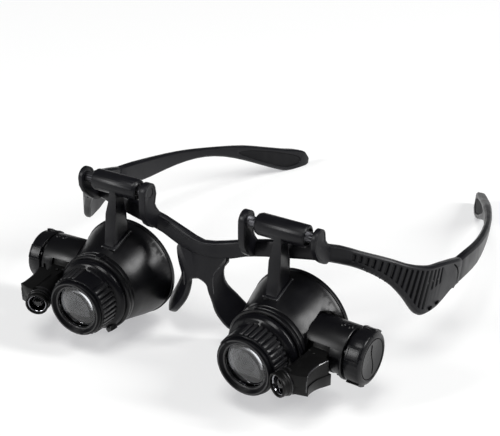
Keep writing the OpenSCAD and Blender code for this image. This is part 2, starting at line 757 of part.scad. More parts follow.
module battery_tube(side) {
  color("#222329")
    at_eye(side)
      difference() {
        union() {
          about_tube_axis() rotate_extrude($fn = 80)
            polygon([
              [0, tube_start], [tube_r - 0.2, tube_start], [tube_r, tube_start + 0.2],
              [tube_r, tube_end - 0.2],
              [tube_r - 0.2, tube_end], [core_r, tube_end], [core_r, core_out], [0, core_out]
            ]);
          // Two low bumps on top of the tube, beside the cap
          for (x = [tube_end - 4.2, tube_end - 1.6])
            translate([x, -tube_fwd, tube_up + tube_r - 0.6]) cylinder(r1 = 1.25, r2 = 0.7, h = 0.95);
        }
        // Battery bore
        about_tube_axis() translate([0, 0, tube_start + 1.3]) cylinder(r = bore_r, h = 30);
        // Ring-shaped room for the lamp's knuckle
        about_tube_axis() rotate_extrude($fn = 80)
          polygon([
            [core_r, knuckle_start - 0.3], [tube_r - tube_wall, knuckle_start - 0.3],
            [tube_r - tube_wall, knuckle_end + 0.12], [core_r, knuckle_end + 0.12]
          ]);
        // Window for the lamp, from its upper edge round to its lower edge
        about_tube_axis() translate([0, 0, tube_start + 1.2]) rotate([0, 0, -90 - window_top])
          rotate_extrude(angle = window_top + window_low, $fn = 80)
            translate([core_r + 0.3, 0]) square([4, window_end - tube_start - 1.2]);
        // Step beside the cap that clears the lamp's fin
        about_tube_axis() translate([0, 0, window_end - 0.5]) rotate([0, 0, -72 - window_top])
          rotate_extrude(angle = window_top + window_low - 24, $fn = 80)
            translate([tube_r - 0.9, 0]) square([2, tube_end - window_end - 0.4]);
      }
}

module cell_contact(side) {
  color("#b9a25c")
    at_eye(side)
      about_tube_axis() translate([0, 0, tube_start + 1.3]) difference() {
        cylinder(r = bore_r - 0.15, h = 0.4);
        translate([0, 0, -1]) cylinder(r = 1.2, h = 3);
      }
}

module button_cells(side) {
  start = tube_start + 1.3 + 0.45;
  color("#b4b6ba")
    at_eye(side)
      about_tube_axis() translate([0, 0, start]) rotate_extrude()
        polygon(concat(
          [[0, 0]],
          [for (i = [0 : cell_count - 1]) each [
            [cell_r - 1.1, i * cell_t], [cell_r - 1.1, i * cell_t + 0.4], [cell_r, i * cell_t + 0.6],
            [cell_r, i * cell_t + cell_t - 0.2], [cell_r - 0.2, i * cell_t + cell_t]
          ]],
          [[0, cell_count * cell_t]]
        ));
}

module battery_cap(side) {
  start = tube_end + cap_gap;
  color("#202126")
    at_eye(side)
      difference() {
        union() {
          about_tube_axis() rotate_extrude($fn = 80)
            polygon([
              [0, start], [cap_r - 1, start], [cap_r - 1, start + cap_neck],
              [cap_r - 0.2, start + cap_neck], [cap_r, start + cap_neck + 0.2], [cap_r, cap_end - 1],
              [cap_r - 0.3, cap_end - 0.5], [cap_r - 0.9, cap_end - 0.15], [cap_r - 1.3, cap_end],
              [cap_r - 1.6, cap_end], [cap_r - 1.75, cap_end - 0.15], [0, cap_end - 0.15]
            ]);
          for (i = [0 : cap_pads - 1])
            about_tube_axis() translate([0, 0, start + cap_neck + 0.2])
              rotate([0, 0, 180 + cap_pad_turn + i * 360 / cap_pads])
                rotate_extrude(angle = cap_pad_span, $fn = 80)
                  translate([cap_r - 0.6, 0]) square([0.6 + cap_pad_h, cap_len - cap_neck - 1.3]);
        }
        about_tube_axis() translate([0, 0, start - 1])
          cylinder(r = core_r + 0.05, h = core_out - start + 1.1);
        about_tube_axis() translate([0, 0, start]) cylinder(r = bore_r - 0.3, h = cap_len - 1.4);
      }
}

// Conical coil that presses on the cells
module cap_spring(side) {
  from = tube_start + 1.75 + cell_count * cell_t + 0.35;
  to = tube_end + cap_gap + cap_len - 1.45;
  steps = 36;
  color("#a9abb0")
    at_eye(side)
      about_tube_axis()
        skin([for (i = [steps : -1 : 0])
          let (t = i / steps, a = 900 * t, r = 2 + 2.6 * t, w = 0.28)
          [for (j = [0 : 5])
            [(r + w * cos(60 * j)) * cos(a), (r + w * cos(60 * j)) * sin(a), from + (to - from - 0.35)
              * t + w * sin(60 * j)]]]);
}

module lens_barrel(side) {
  turn = side > 0 ? rib_turn_left : rib_turn_right;
  color("#1f2024")
    at_eye(side)
      difference() {
        union() {
          about_optical_axis() rotate_extrude($fn = 96)
            polygon([
              [0, 7], [spigot_r, 7], [spigot_r, collar_front + 0.1], [shoulder_r, collar_front + 0.1],
              [shoulder_r + 0.2, collar_front + 0.6], [shoulder_r + 0.05, shoulder_front - 1.6],
              [shoulder_r - 0.5, shoulder_front - 0.7], [shoulder_r - 1.2, shoulder_front - 0.2],
              [barrel_r + 0.3, shoulder_front], [barrel_r, shoulder_front + 0.3],
              [barrel_r, barrel_front - 0.3], [barrel_r - 0.3, barrel_front], [0, barrel_front]
            ]);
          // Grip ribs in two groups, opposite each other
          about_optical_axis() translate([0, 0, shoulder_front + 0.4])
            linear_extrude(barrel_front - shoulder_front - 0.9)
              for (group = [0, 180], i = [0 : barrel_ribs - 1])
                rotate(90 - turn + group + (i - (barrel_ribs - 1) / 2) * barrel_rib_pitch)
                  translate([barrel_r - 0.5, -0.3]) square([0.5 + barrel_rib_h, 0.6]);
          // Bayonet lugs behind the collar
          for (a = [93, 273])
            about_optical_axis() rotate([0, 0, a]) translate([0, 0, 7])
              rotate_extrude(angle = 20) translate([spigot_r - 1, 0]) square([lug_r - spigot_r + 1, 1.1]);
        }
        about_optical_axis() rotate_extrude($fn = 96)
          polygon([
            [0, 6], [spigot_r - 1.2, 6], [spigot_r - 1.2, 9], [bezel_open_r + 0.1, lens_back - 0.8],
            [bezel_open_r + 0.1, lens_back], [lens_r + 0.05, lens_back],
            [lens_r + 0.05, barrel_front + 1],
            [0, barrel_front + 1]
          ]);
      }
}

module lens(side) {
  dome = [
    for (i = [0 : 8])
      let (r = clear_r * i / 8)
      [r, sqrt(lens_curve_r * lens_curve_r - r * r) - lens_curve_r + lens_dome]
  ];
  color("#9fb2b8", 0.5)
    at_eye(side)
      about_optical_axis() translate([0, 0, lens_back + 0.02]) rotate_extrude($fn = 96)
        polygon(concat(
          [for (p = dome) [p[0], -p[1]]],
          [[lens_r, 0], [lens_r, lens_edge_t]],
          [for (i = [8 : -1 : 0]) [dome[i][0], lens_edge_t + dome[i][1]]]
        ));
}

module lens_bezel(side) {
  color("#1b1c20")
    at_eye(side)
      about_optical_axis() rotate_extrude($fn = 96)
        polygon([
          [bezel_open_r, barrel_front - 0.25], [lens_r - 0.05, barrel_front - 0.25],
          [lens_r - 0.05, barrel_front + 0.02],
          [bezel_r - 0.2, barrel_front + 0.02], [bezel_r, barrel_front + 0.25],
          [bezel_r, barrel_front + bezel_len - 0.5],
          [bezel_r - 0.45, barrel_front + bezel_len], [bezel_r - 1.1, barrel_front + bezel_len],
          [bezel_open_r + 0.5, barrel_front + 0.75], [bezel_open_r, barrel_front + 0.6]
        ]);
}

// Places a revolved shape on the lamp's axis, its front at z = lamp_front
module about_lamp_axis() {
  translate([lamp_out, -lamp_front, lamp_up]) rotate([0, 0, -lamp_toe])
    translate([0, lamp_front, 0]) rotate([90, 0, 0]) children();
}

// Swivels a lamp about the tube's axis to where it rests
module at_lamp(side) {
  at_eye(side)
    translate([0, -tube_fwd, tube_up])
      rotate([side > 0 ? -lamp_tilt_left : -lamp_tilt_right, 0, 0])
        translate([0, tube_fwd, -tube_up]) children();
}

// Thumb plate beside the lamp head, seen from above: its outward face is hollow
module fin_outline(grow) {
  rear = 13.9 - 2 * grow;
  polygon([
    [16.4, -26], [18.5 + grow / 2, -26], [22 + grow, -24.8 + grow / 2], [21.6 + grow, -23.4],
    [21.45 + grow, -22], [21.4 + grow, -20.4], [21.5 + grow, -18.8], [21.8 + grow, -17.2],
    [22.3 + grow, -15.6], [22.9 + 1.2 * grow, -rear], [22.9 - fin_t, 0.8 - rear],
    [20.3, -13.6], [16.4, -15.6]
  ]);
}

// Band of the thumb plate between two levels, each given at its rear and at its front
module fin_band(low_rear, low_front, top_rear, top_front, grow) {
  intersection() {
    translate([0, 0, -10]) linear_extrude(20) fin_outline(grow);
    rotate([90, 0, 90]) linear_extrude(40)
      polygon([[-27, low_front], [-11.5, low_rear], [-11.5, top_rear], [-27, top_front]]);
  }
}

module lamp_carrier(side) {
  color("#1c1d21")
    at_lamp(side)
      difference() {
        union() {
          // Knuckle: a ring that turns on the battery barrel, under the tube's shell
          about_tube_axis() translate([0, 0, knuckle_start])
            cylinder(r = knuckle_out_r, h = knuckle_end - knuckle_start);
          // Body that runs from the knuckle to the lamp head
          hull() {
            about_lamp_axis() translate([0, 0, lamp_rear]) cylinder(r = lamp_r - 0.3, h = 5, $fn = 32);
            translate([knuckle_start, -9.4, lamp_up + 0.5]) rotate([0, 90, 0])
              cylinder(r = lamp_r - 0.3, h = knuckle_end - knuckle_start, $fn = 32);
          }
          // Stepped lamp head
          about_lamp_axis() rotate_extrude()
            polygon([
              [0, lamp_rear], [lamp_r, lamp_rear], [lamp_r, lamp_front - 4.6], [lamp_r - 0.35, lamp_front - 4.4],
              [lamp_r - 0.35, lamp_front - 4], [lamp_r - 0.1, lamp_front - 3.8],
              [lamp_r - 0.1, lamp_front - 2.2],
              [lamp_r - 0.4, lamp_front - 2], [lamp_r - 0.4, lamp_front - 1.2], [0, lamp_front - 1.2]
            ]);
          fin_band(lamp_up - 4.5, lamp_up - 1.9, lamp_up - 0.5, lamp_up + 0.5, 0.45);
          fin_band(lamp_up - 0.7, lamp_up + 0.3, lamp_up + 4.7, lamp_up + 4.3, 0);
        }
        // Bore that turns on the battery barrel
        about_tube_axis() cylinder(r = knuckle_in_r, h = far);
        // Room for the lens barrel's shoulder and for the collar, whatever the swivel
        about_tube_axis() cylinder(r = 17.2, h = 13.1);
        about_tube_axis() cylinder(r = 13.4, h = knuckle_start - 0.05);
        // Seat of the reflector
        about_lamp_axis() translate([0, 0, lamp_front - 5.2]) cylinder(r = lamp_r - 0.9, h = 10);
        about_lamp_axis() translate([0, 0, lamp_front - 8]) cylinder(r = led_r + 0.02, h = 10);
      }
}

module lamp_ring(side) {
  color("#151519")
    at_lamp(side)
      about_lamp_axis() rotate_extrude()
        polygon([
          [lamp_r - 0.75, lamp_front - 1.18], [lamp_r - 0.25, lamp_front - 1.18],
          [lamp_r - 0.15, lamp_front - 1],
          [lamp_r - 0.15, lamp_front - 0.25], [lamp_r - 0.4, lamp_front],
          [lamp_r - 0.75, lamp_front - 0.1]
        ]);
}

module lamp_reflector(side) {
  r = lamp_r - 0.95;
  color("#d8dadd")
    at_lamp(side)
      about_lamp_axis() rotate_extrude()
        polygon([
          [led_r + 0.05, lamp_front - 5.15], [r, lamp_front - 5.15], [r, lamp_front - 0.7],
          [r - 0.2, lamp_front - 0.7], [r - 0.35, lamp_front - 1.6], [led_r + 0.2, lamp_front - 2.8],
          [led_r + 0.05, lamp_front - 3.2]
        ]);
}

module lamp_led(side) {
  color("#f2f0e2", 0.8)
    at_lamp(side)
      about_lamp_axis() {
        translate([0, 0, lamp_front - 7.9]) cylinder(r = led_r, h = 4.9);
        translate([0, 0, lamp_front - 3]) sphere(r = led_r);
      }
}

front_frame();
temple(1);  // temple_left
temple(-1);  // temple_right
temple_pad(1);  // temple_pad_left
temple_pad(-1);  // temple_pad_right
temple_screw(1);  // temple_screw_left
temple_screw(-1);  // temple_screw_right
pivot_rod(1);  // pivot_rod_left
pivot_rod(-1);  // pivot_rod_right
hanger(1);  // hanger_left
hanger(-1);  // hanger_right
eyecup(1);  // eyecup_left
eyecup(-1);  // eyecup_right
battery_tube(1);  // battery_tube_left
battery_tube(-1);  // battery_tube_right
cell_contact(1);  // cell_contact_left
cell_contact(-1);  // cell_contact_right
button_cells(1);  // button_cells_left
button_cells(-1);  // button_cells_right
battery_cap(1);  // battery_cap_left
battery_cap(-1);  // battery_cap_right
cap_spring(1);  // cap_spring_left
cap_spring(-1);  // cap_spring_right
lens_barrel(1);  // lens_barrel_left
lens_barrel(-1);  // lens_barrel_right
lens(1);  // lens_left
lens(-1);  // lens_right
lens_bezel(1);  // lens_bezel_left
lens_bezel(-1);  // lens_bezel_right
lamp_carrier(1);  // lamp_carrier_left
lamp_carrier(-1);  // lamp_carrier_right
lamp_ring(1);  // lamp_ring_left
lamp_ring(-1);  // lamp_ring_right
lamp_reflector(1);  // lamp_reflector_left
lamp_reflector(-1);  // lamp_reflector_right
lamp_led(1);  // lamp_led_left
lamp_led(-1);  // lamp_led_right
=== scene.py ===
"""Looks for the spectacle-frame magnifier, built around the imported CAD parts.

Sizes and places on the object are in millimetres and become metres by MM. The floor, the
lights and the camera are in metres. A small piece is drawn in a plain place, such as round
the Z axis, and then settled on the part that carries it.
"""

import json
import math

import bmesh
import bpy
from mathutils import Matrix, Vector
from mathutils.bvhtree import BVHTree


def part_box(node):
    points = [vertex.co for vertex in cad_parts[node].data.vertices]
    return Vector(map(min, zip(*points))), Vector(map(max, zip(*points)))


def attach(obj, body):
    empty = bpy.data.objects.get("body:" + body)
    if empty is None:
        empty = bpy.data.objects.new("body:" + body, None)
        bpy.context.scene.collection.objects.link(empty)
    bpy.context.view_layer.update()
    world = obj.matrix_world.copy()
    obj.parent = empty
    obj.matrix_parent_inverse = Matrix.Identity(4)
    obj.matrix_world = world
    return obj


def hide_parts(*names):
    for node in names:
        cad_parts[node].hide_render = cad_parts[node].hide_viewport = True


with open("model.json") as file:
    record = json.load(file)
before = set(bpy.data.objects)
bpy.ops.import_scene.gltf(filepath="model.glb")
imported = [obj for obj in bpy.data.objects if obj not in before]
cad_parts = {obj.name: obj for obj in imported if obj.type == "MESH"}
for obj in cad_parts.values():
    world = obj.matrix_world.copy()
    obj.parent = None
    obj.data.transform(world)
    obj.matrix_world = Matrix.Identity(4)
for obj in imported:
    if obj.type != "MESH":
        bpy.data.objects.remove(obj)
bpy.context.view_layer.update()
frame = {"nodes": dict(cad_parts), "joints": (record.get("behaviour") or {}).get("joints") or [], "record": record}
nodes = frame["nodes"]
bodies = frame["record"]["behaviour"]["bodies"]

MM = 0.001
SIDES = (("left", 1), ("right", -1))
LABELS = {side: label for label, side in SIDES}


# Materials

def new_material(name):
    """An empty node material with its output and one Principled shader."""
    made = bpy.data.materials.new(name)
    made.use_nodes = True
    tree = made.node_tree
    tree.nodes.clear()
    output = tree.nodes.new("ShaderNodeOutputMaterial")
    shader = tree.nodes.new("ShaderNodeBsdfPrincipled")
    tree.links.new(shader.outputs["BSDF"], output.inputs["Surface"])
    return made, tree, shader


def object_noise(tree, scale, detail, stretch=(1, 1, 1)):
    """Noise that sits on the object, stretched along its axes."""
    place = tree.nodes.new("ShaderNodeTexCoord")
    mapping = tree.nodes.new("ShaderNodeMapping")
    mapping.inputs["Scale"].default_value = stretch
    noise = tree.nodes.new("ShaderNodeTexNoise")
    noise.inputs["Scale"].default_value = scale
    noise.inputs["Detail"].default_value = detail
    tree.links.new(place.outputs["Object"], mapping.inputs["Vector"])
    tree.links.new(mapping.outputs["Vector"], noise.inputs["Vector"])
    return noise.outputs["Fac"]


def spread(tree, value, low, high):
    """Maps the middle range of a noise onto low to high."""
    ranged = tree.nodes.new("ShaderNodeMapRange")
    ranged.inputs["From Min"].default_value = 0.3
    ranged.inputs["From Max"].default_value = 0.7
    ranged.inputs["To Min"].default_value = low
    ranged.inputs["To Max"].default_value = high
    tree.links.new(value, ranged.inputs["Value"])
    return ranged.outputs["Result"]


def bump(tree, shader, height, strength, depth):
    """Adds fine relief to a shader, its depth in millimetres."""
    relief = tree.nodes.new("ShaderNodeBump")
    relief.inputs["Strength"].default_value = strength
    relief.inputs["Distance"].default_value = depth * MM
    tree.links.new(height, relief.inputs["Height"])
    tree.links.new(relief.outputs["Normal"], shader.inputs["Normal"])


def moulded_plastic(name, dark, light, rough, grain, relief, specular):
    """Moulded plastic: a slight change of tone, roughness between two values, a fine grain."""
    made, tree, shader = new_material(name)
    mix = tree.nodes.new("ShaderNodeMix")
    mix.data_type = "RGBA"
    mix.inputs[6].default_value = (*dark, 1)
    mix.inputs[7].default_value = (*light, 1)
    tone = object_noise(tree, 70, detail=3)
    tree.links.new(spread(tree, tone, 0, 1), mix.inputs[0])
    tree.links.new(mix.outputs[2], shader.inputs["Base Color"])
    wipe = object_noise(tree, 190, detail=4, stretch=(1, 1, 0.5))
    tree.links.new(spread(tree, wipe, *rough), shader.inputs["Roughness"])
    bump(tree, shader, object_noise(tree, grain, detail=2), relief, 0.06)
    shader.inputs["IOR"].default_value = 1.5
    shader.inputs["Specular IOR Level"].default_value = specular
    return made


def polished_metal(name, colour, rough, stretch=(1, 1, 1)):
    """Polished metal with faint marks, drawn out where stretch says so."""
    made, tree, shader = new_material(name)
    shader.inputs["Metallic"].default_value = 1
    shader.inputs["Base Color"].default_value = (*colour, 1)
    marks = object_noise(tree, 900, detail=2, stretch=stretch)
    tree.links.new(spread(tree, marks, *rough), shader.inputs["Roughness"])
    bump(tree, shader, marks, 0.15, 0.02)
    return made


def clear_material(name, colour, rough, ior):
    """Clear glass or moulded clear plastic with faint surface waves."""
    made, tree, shader = new_material(name)
    shader.inputs["Base Color"].default_value = (*colour, 1)
    shader.inputs["Transmission Weight"].default_value = 1
    shader.inputs["IOR"].default_value = ior
    shader.inputs["Roughness"].default_value = rough
    bump(tree, shader, object_noise(tree, 60, detail=2), 0.01, 0.01)
    return made


MATERIALS = {
    "frame": moulded_plastic(
        "satin_frame_plastic", dark=(0.0035, 0.0035, 0.005), light=(0.0065, 0.0065, 0.0085),
        rough=(0.32, 0.44), grain=2600, relief=0.4, specular=0.24),
    "arm": moulded_plastic(
        "arm_plastic", dark=(0.003, 0.003, 0.0045), light=(0.0055, 0.0055, 0.007),
        rough=(0.30, 0.40), grain=2400, relief=0.35, specular=0.24),
    "cup": moulded_plastic(
        "glossy_cup_plastic", dark=(0.0015, 0.0015, 0.002), light=(0.003, 0.003, 0.004),
        rough=(0.30, 0.38), grain=1800, relief=0.12, specular=0.3),
    "barrel": moulded_plastic(
        "barrel_plastic", dark=(0.002, 0.002, 0.003), light=(0.0045, 0.0045, 0.0055),
        rough=(0.24, 0.34), grain=2200, relief=0.12, specular=0.18),
    "cap": moulded_plastic(
        "cap_plastic", dark=(0.003, 0.003, 0.004), light=(0.006, 0.006, 0.007),
        rough=(0.24, 0.34), grain=2200, relief=0.15, specular=0.2),
    # Lighter than the barrel's plastic: the ridges, beads and lip made in it paint the light on their tops into
    # the colour
    "ridge": moulded_plastic(
        "ridge_highlight_plastic", dark=(0.008, 0.008, 0.009), light=(0.014, 0.014, 0.015),
        rough=(0.24, 0.34), grain=2200, relief=0.12, specular=0.45),
    "bezel": moulded_plastic(
        "bezel_plastic", dark=(0.0015, 0.0015, 0.002), light=(0.003, 0.003, 0.004),
        rough=(0.34, 0.46), grain=2600, relief=0.2, specular=0.08),
    "lamp": moulded_plastic(
        "lamp_plastic", dark=(0.003, 0.003, 0.003), light=(0.006, 0.006, 0.006),
        rough=(0.32, 0.44), grain=2600, relief=0.35, specular=0.16),
    # Lighter than the black plastic, with a sharp gloss: the edges, lines and dots made in it paint their
    # highlights into the colour
    "bead": moulded_plastic(
        "edge_highlight_plastic", dark=(0.02, 0.02, 0.022), light=(0.04, 0.04, 0.043),
        rough=(0.14, 0.22), grain=1800, relief=0.05, specular=0.6),
    # Near-black and matt: the lines and notches made in it paint the shade of grooves and relief
    "groove": moulded_plastic(
        "shadow_black_plastic", dark=(0.0008, 0.0008, 0.001), light=(0.0015, 0.0015, 0.002),
        rough=(0.6, 0.75), grain=2600, relief=0.2, specular=0.05),
    "rubber": moulded_plastic(
        "pad_rubber", dark=(0.006, 0.006, 0.007), light=(0.010, 0.010, 0.011),
        rough=(0.62, 0.78), grain=3600, relief=0.5, specular=0.15),
    "rod": polished_metal("dark_rod_steel", (0.13, 0.13, 0.14), rough=(0.46, 0.54)),
    "steel": polished_metal(
        "screw_steel", (0.55, 0.55, 0.57), rough=(0.22, 0.36), stretch=(1, 1, 0.2)),
    "cells": polished_metal("cell_steel", (0.7, 0.7, 0.72), rough=(0.2, 0.3)),
    "brass": polished_metal("contact_brass", (0.75, 0.58, 0.28), rough=(0.2, 0.32)),
    "mirror": polished_metal("reflector_chrome", (0.30, 0.30, 0.32), rough=(0.06, 0.14)),
    "glass": clear_material("lens_glass", (0.90, 0.91, 0.95), rough=0, ior=1.52),
    "diode": clear_material("smoked_diode_dome", (0.10, 0.10, 0.105), rough=0.02, ior=1.5),
}

NODE_FINISH = {
    "temple": "frame", "temple_pad": "rubber", "temple_screw": "steel", "pivot_rod": "rod",
    "hanger": "arm", "eyecup": "cup", "battery_tube": "cup", "cell_contact": "brass",
    "button_cells": "cells", "battery_cap": "cap", "cap_spring": "steel",
    "lens_barrel": "barrel", "lens_bezel": "bezel", "lamp_carrier": "lamp",
    "lamp_ring": "lamp", "lamp_reflector": "mirror", "lamp_led": "diode",
}

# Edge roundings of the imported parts
ROUNDING = {
    "front_frame": 0.35, "temple": 0.3, "temple_pad": 0.15, "hanger": 0.25, "eyecup": 0.25,
    "battery_tube": 0.15, "battery_cap": 0.2, "lens_barrel": 0.12, "lens_bezel": 0.12,
    "lamp_carrier": 0.3, "lamp_ring": 0.08,
}


# Places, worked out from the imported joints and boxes

# Outward distance from the lens axis to the middle of the lamp's front
LAMP_OUT = 13.6
# Height of the lamp's axis above the lens axis
LAMP_UP = -0.3
# Distance from the rod forward to the front of the lamp
LAMP_FRONT = 28.0
# Angle by which the lamp head is turned in toward the lens axis
LAMP_TOE = 22.0
# Swivel at which the lamps rest: the left one upward, the right one downward
LAMP_TILT = 1.5


def joint(stem, side):
    """A packed joint of one side."""
    return next(each for each in frame["joints"] if each["name"] == f"{stem}_{LABELS[side]}")


def to_hundredth(length):
    """A length in metres to the nearest hundredth of a millimetre: packed joints are rounded."""
    return round(length / MM, 2) * MM


def sleeve_out(label):
    """Distance of an arm's middle from the middle plane, in metres."""
    low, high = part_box(f"hanger_{label}")
    return to_hundredth(abs(low[0] + high[0]) / 2)


SLEEVE_OUT = {side: sleeve_out(label) for label, side in SIDES}


def mirrored(side):
    """Mirror across the middle plane for the right side."""
    return Matrix.Diagonal((side, 1, 1, 1))


def moved(x, y, z):
    """A move in millimetres."""
    return Matrix.Translation((x * MM, y * MM, z * MM))


def turned(angle, axis):
    """A turn about an axis through the origin, in degrees."""
    return Matrix.Rotation(math.radians(angle), 4, axis)


def rod_place(side):
    """The hinge rod's axis, on the middle plane."""
    rod = joint("eyepiece_flip", side)["pos_m"]
    return mirrored(side) @ Matrix.Translation((0, rod[1], rod[2]))


def arm_place(side):
    """The middle of the arm's sleeve, on the rod's axis."""
    return rod_place(side) @ Matrix.Translation((SLEEVE_OUT[side], 0, 0))


def eye_place(side):
    """The eyecup's origin, where the lens axis passes below the rod, turned with that axis."""
    twist = joint("lens_twist", side)
    anchor, ahead = Vector(twist["pos_m"]), Vector(twist["axis"])
    rod_y = joint("eyepiece_flip", side)["pos_m"][1]
    origin = anchor + ahead * ((rod_y - anchor.y) / ahead.y)
    x, y, z = (to_hundredth(length) for length in origin)
    toe = round(math.degrees(math.atan2(side * ahead.x, -ahead.y)), 2)
    return mirrored(side) @ Matrix.Translation((side * x, y, z)) @ turned(toe, "Z")


def lens_place(side):
    """Z runs forward along the lens axis."""
    return eye_place(side) @ turned(90, "X")


def tube_axis(side):
    """From the eyecup's origin to the battery tube's axis."""
    anchor = eye_place(side).inverted() @ Vector(joint("cap_twist", side)["pos_m"])
    return Matrix.Translation((0, to_hundredth(anchor.y), to_hundredth(anchor.z)))


def tube_place(side):
    """Z runs outward along the battery tube."""
    return eye_place(side) @ tube_axis(side) @ turned(90, "Y")


def swung_place(side):
    """The eyecup's place, swung about the tube's axis as the lamp rests."""
    axis = tube_axis(side)
    swing = axis @ turned(-LAMP_TILT * side, "X") @ axis.inverted()
    return eye_place(side) @ swing


def lamp_place(side):
    """Z runs forward along the lamp's axis."""
    front = moved(LAMP_OUT, -LAMP_FRONT, LAMP_UP) @ turned(-LAMP_TOE, "Z")
    return swung_place(side) @ front @ moved(0, LAMP_FRONT, 0) @ turned(90, "X")


# The photograph's view, with the camera in metres and degrees

PHOTO_WIDTH, PHOTO_HEIGHT = 500, 436
CAMERA_PLACE = Vector((0.18053, -0.32571, 0.21201))
CAMERA_AZIMUTH, CAMERA_ELEVATION, CAMERA_ROLL = 31.617, 27.112, -0.31
# Focal length in pixels of the photograph
FOCAL_PIXELS = 1128.23
# Distance of the optical axis from the picture's middle, as a share of the width
CAMERA_SHIFT = (0.013, 0.00136)


def view_axes():
    """The camera's directions to the right, up and back."""
    azimuth, elevation, roll = (
        math.radians(a) for a in (CAMERA_AZIMUTH, CAMERA_ELEVATION, CAMERA_ROLL))
    level = Vector((math.cos(azimuth), math.sin(azimuth), 0))
    toward = Vector((math.sin(azimuth), -math.cos(azimuth), 0))
    back = toward * math.cos(elevation) + Vector((0, 0, math.sin(elevation)))
    upright = back.cross(level)
    right = level * math.cos(roll) + upright * math.sin(roll)
    up = upright * math.cos(roll) - level * math.sin(roll)
    return right, up, back


front_mesh = nodes["front_frame"].data
front_surface = BVHTree.FromPolygons(
    [point.co for point in front_mesh.vertices],
    [tuple(face.vertices) for face in front_mesh.polygons])


def seen_on_frame(column, row):
    """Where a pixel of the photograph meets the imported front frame, in millimetres."""
    right, up, back = view_axes()
    across = column - PHOTO_WIDTH / 2 + CAMERA_SHIFT[0] * PHOTO_WIDTH
    upward = PHOTO_HEIGHT / 2 - row + CAMERA_SHIFT[1] * PHOTO_WIDTH
    sight = right * across + up * upward - back * FOCAL_PIXELS
    return front_surface.ray_cast(CAMERA_PLACE, sight.normalized())[0] / MM


# Modelling steps

# Points nearer than this are merged
MERGE_WITHIN = 0.001


def alone(piece):
    """Selects one piece and nothing else."""
    bpy.ops.object.select_all(action="DESELECT")
    piece.select_set(True)
    bpy.context.view_layer.objects.active = piece


def edit(piece):
    """Opens a piece for editing with nothing selected."""
    alone(piece)
    bpy.ops.object.mode_set(mode="EDIT")
    bpy.ops.mesh.select_mode(type="FACE")
    bpy.ops.mesh.select_all(action="DESELECT")


def edit_all(piece):
    """Opens a piece for editing with everything selected."""
    edit(piece)
    bpy.ops.mesh.select_all(action="SELECT")


def done():
    """Closes the piece that is open for editing."""
    bpy.ops.object.mode_set(mode="OBJECT")


def pick(piece, test):
    """Selects the faces whose centre, in millimetres, and normal pass the test."""
    shape = bmesh.from_edit_mesh(piece.data)
    for face in shape.faces:
        face.select_set(bool(test(face.calc_center_median() / MM, face.normal)))
    shape.select_flush_mode()
    bmesh.update_edit_mesh(piece.data)


def apply_modifier(piece, kind, **settings):
    """Adds a modifier and applies it."""
    alone(piece)
    made = piece.modifiers.new(kind.lower(), kind)
    for setting, value in settings.items():
        setattr(made, setting, value)
    bpy.ops.object.modifier_apply(modifier=made.name)


def settle(piece, place):
    """Moves a piece from its drawing place to its real place, in its mesh."""
    alone(piece)
    piece.matrix_world = place @ piece.matrix_world
    bpy.ops.object.transform_apply(location=True, rotation=True, scale=True)
    edit_all(piece)
    bpy.ops.mesh.normals_make_consistent(inside=False)
    done()


def merge(pieces, name):
    """Joins pieces into the first one."""
    alone(pieces[0])
    if len(pieces) > 1:
        for piece in pieces[1:]:
            piece.select_set(True)
        bpy.ops.object.join()
    pieces[0].name = name
    pieces[0].data.name = name
    return pieces[0]


def turned_copies(piece, name, angles):
    """Copies of a piece turned about the Z axis by each angle, in degrees, in its stead."""
    copies = []
    for angle in angles:
        alone(piece)
        bpy.ops.object.duplicate()
        copy = bpy.context.object
        copy.rotation_euler.z = math.radians(angle)
        bpy.ops.object.transform_apply(location=False, rotation=True, scale=False)
        copies.append(copy)
    bpy.data.objects.remove(piece)
    return merge(copies, name)


def rounded_bar(size, middle, edge, segments=2):
    """A bar with rounded edges."""
    bpy.ops.object.select_all(action="DESELECT")
    bpy.ops.mesh.primitive_cube_add(size=1)
    bar = bpy.context.object
    bar.scale = [v * MM for v in size]
    bar.location = [v * MM for v in middle]
    bpy.ops.object.transform_apply(location=True, rotation=True, scale=True)
    edit_all(bar)
    bpy.ops.mesh.bevel(
        offset=edge * MM, offset_type="OFFSET", segments=segments, affect="EDGES")
    done()
    return bar


def bead_ring(radius, thick, along):
    """A thin ring about the Z axis: thick is half its thickness, along its height on the axis."""
    bpy.ops.object.select_all(action="DESELECT")
    bpy.ops.mesh.primitive_torus_add(
        major_radius=radius * MM, minor_radius=thick * MM, major_segments=88, minor_segments=10,
        location=(0, 0, along * MM))
    ring = bpy.context.object
    bpy.ops.object.transform_apply(location=True)
    return ring


def bead_line(name, points, thick):
    """A thin rounded ridge through points: thick is half its thickness."""
    bpy.ops.object.select_all(action="DESELECT")
    path = bpy.data.curves.new(name, "CURVE")
    path.dimensions = "3D"
    spline = path.splines.new("BEZIER")
    spline.bezier_points.add(len(points) - 1)
    for knot, point in zip(spline.bezier_points, points):
        knot.co = [v * MM for v in point]
        knot.handle_left_type = knot.handle_right_type = "AUTO"
    path.resolution_u = 6
    path.bevel_depth = thick * MM
    path.bevel_resolution = 2
    path.use_fill_caps = True
    line = bpy.data.objects.new(name, path)
    bpy.context.scene.collection.objects.link(line)
    alone(line)
    bpy.ops.object.convert(target="MESH")
    return bpy.context.object


def small_dome(radius, flat, middle):
    """A round dome: flat is its height as a share of its radius."""
    bpy.ops.object.select_all(action="DESELECT")
    bpy.ops.mesh.primitive_uv_sphere_add(segments=16, ring_count=10, radius=radius * MM)
    dome = bpy.context.object
    dome.scale = (1, 1, flat)
    dome.location = [v * MM for v in middle]
    bpy.ops.object.transform_apply(location=True, rotation=True, scale=True)
    return dome


def paint(piece, finish):
    """Gives a piece one material in place of all it had."""
    piece.data.materials.clear()
    piece.data.materials.append(MATERIALS[finish])


def paint_faces(piece, finish, test):
    """Gives a second material to the faces whose centre, in metres, passes the test."""
    piece.data.materials.append(MATERIALS[finish])
    for face in piece.data.polygons:
        if test(face.center):
            face.material_index = 1


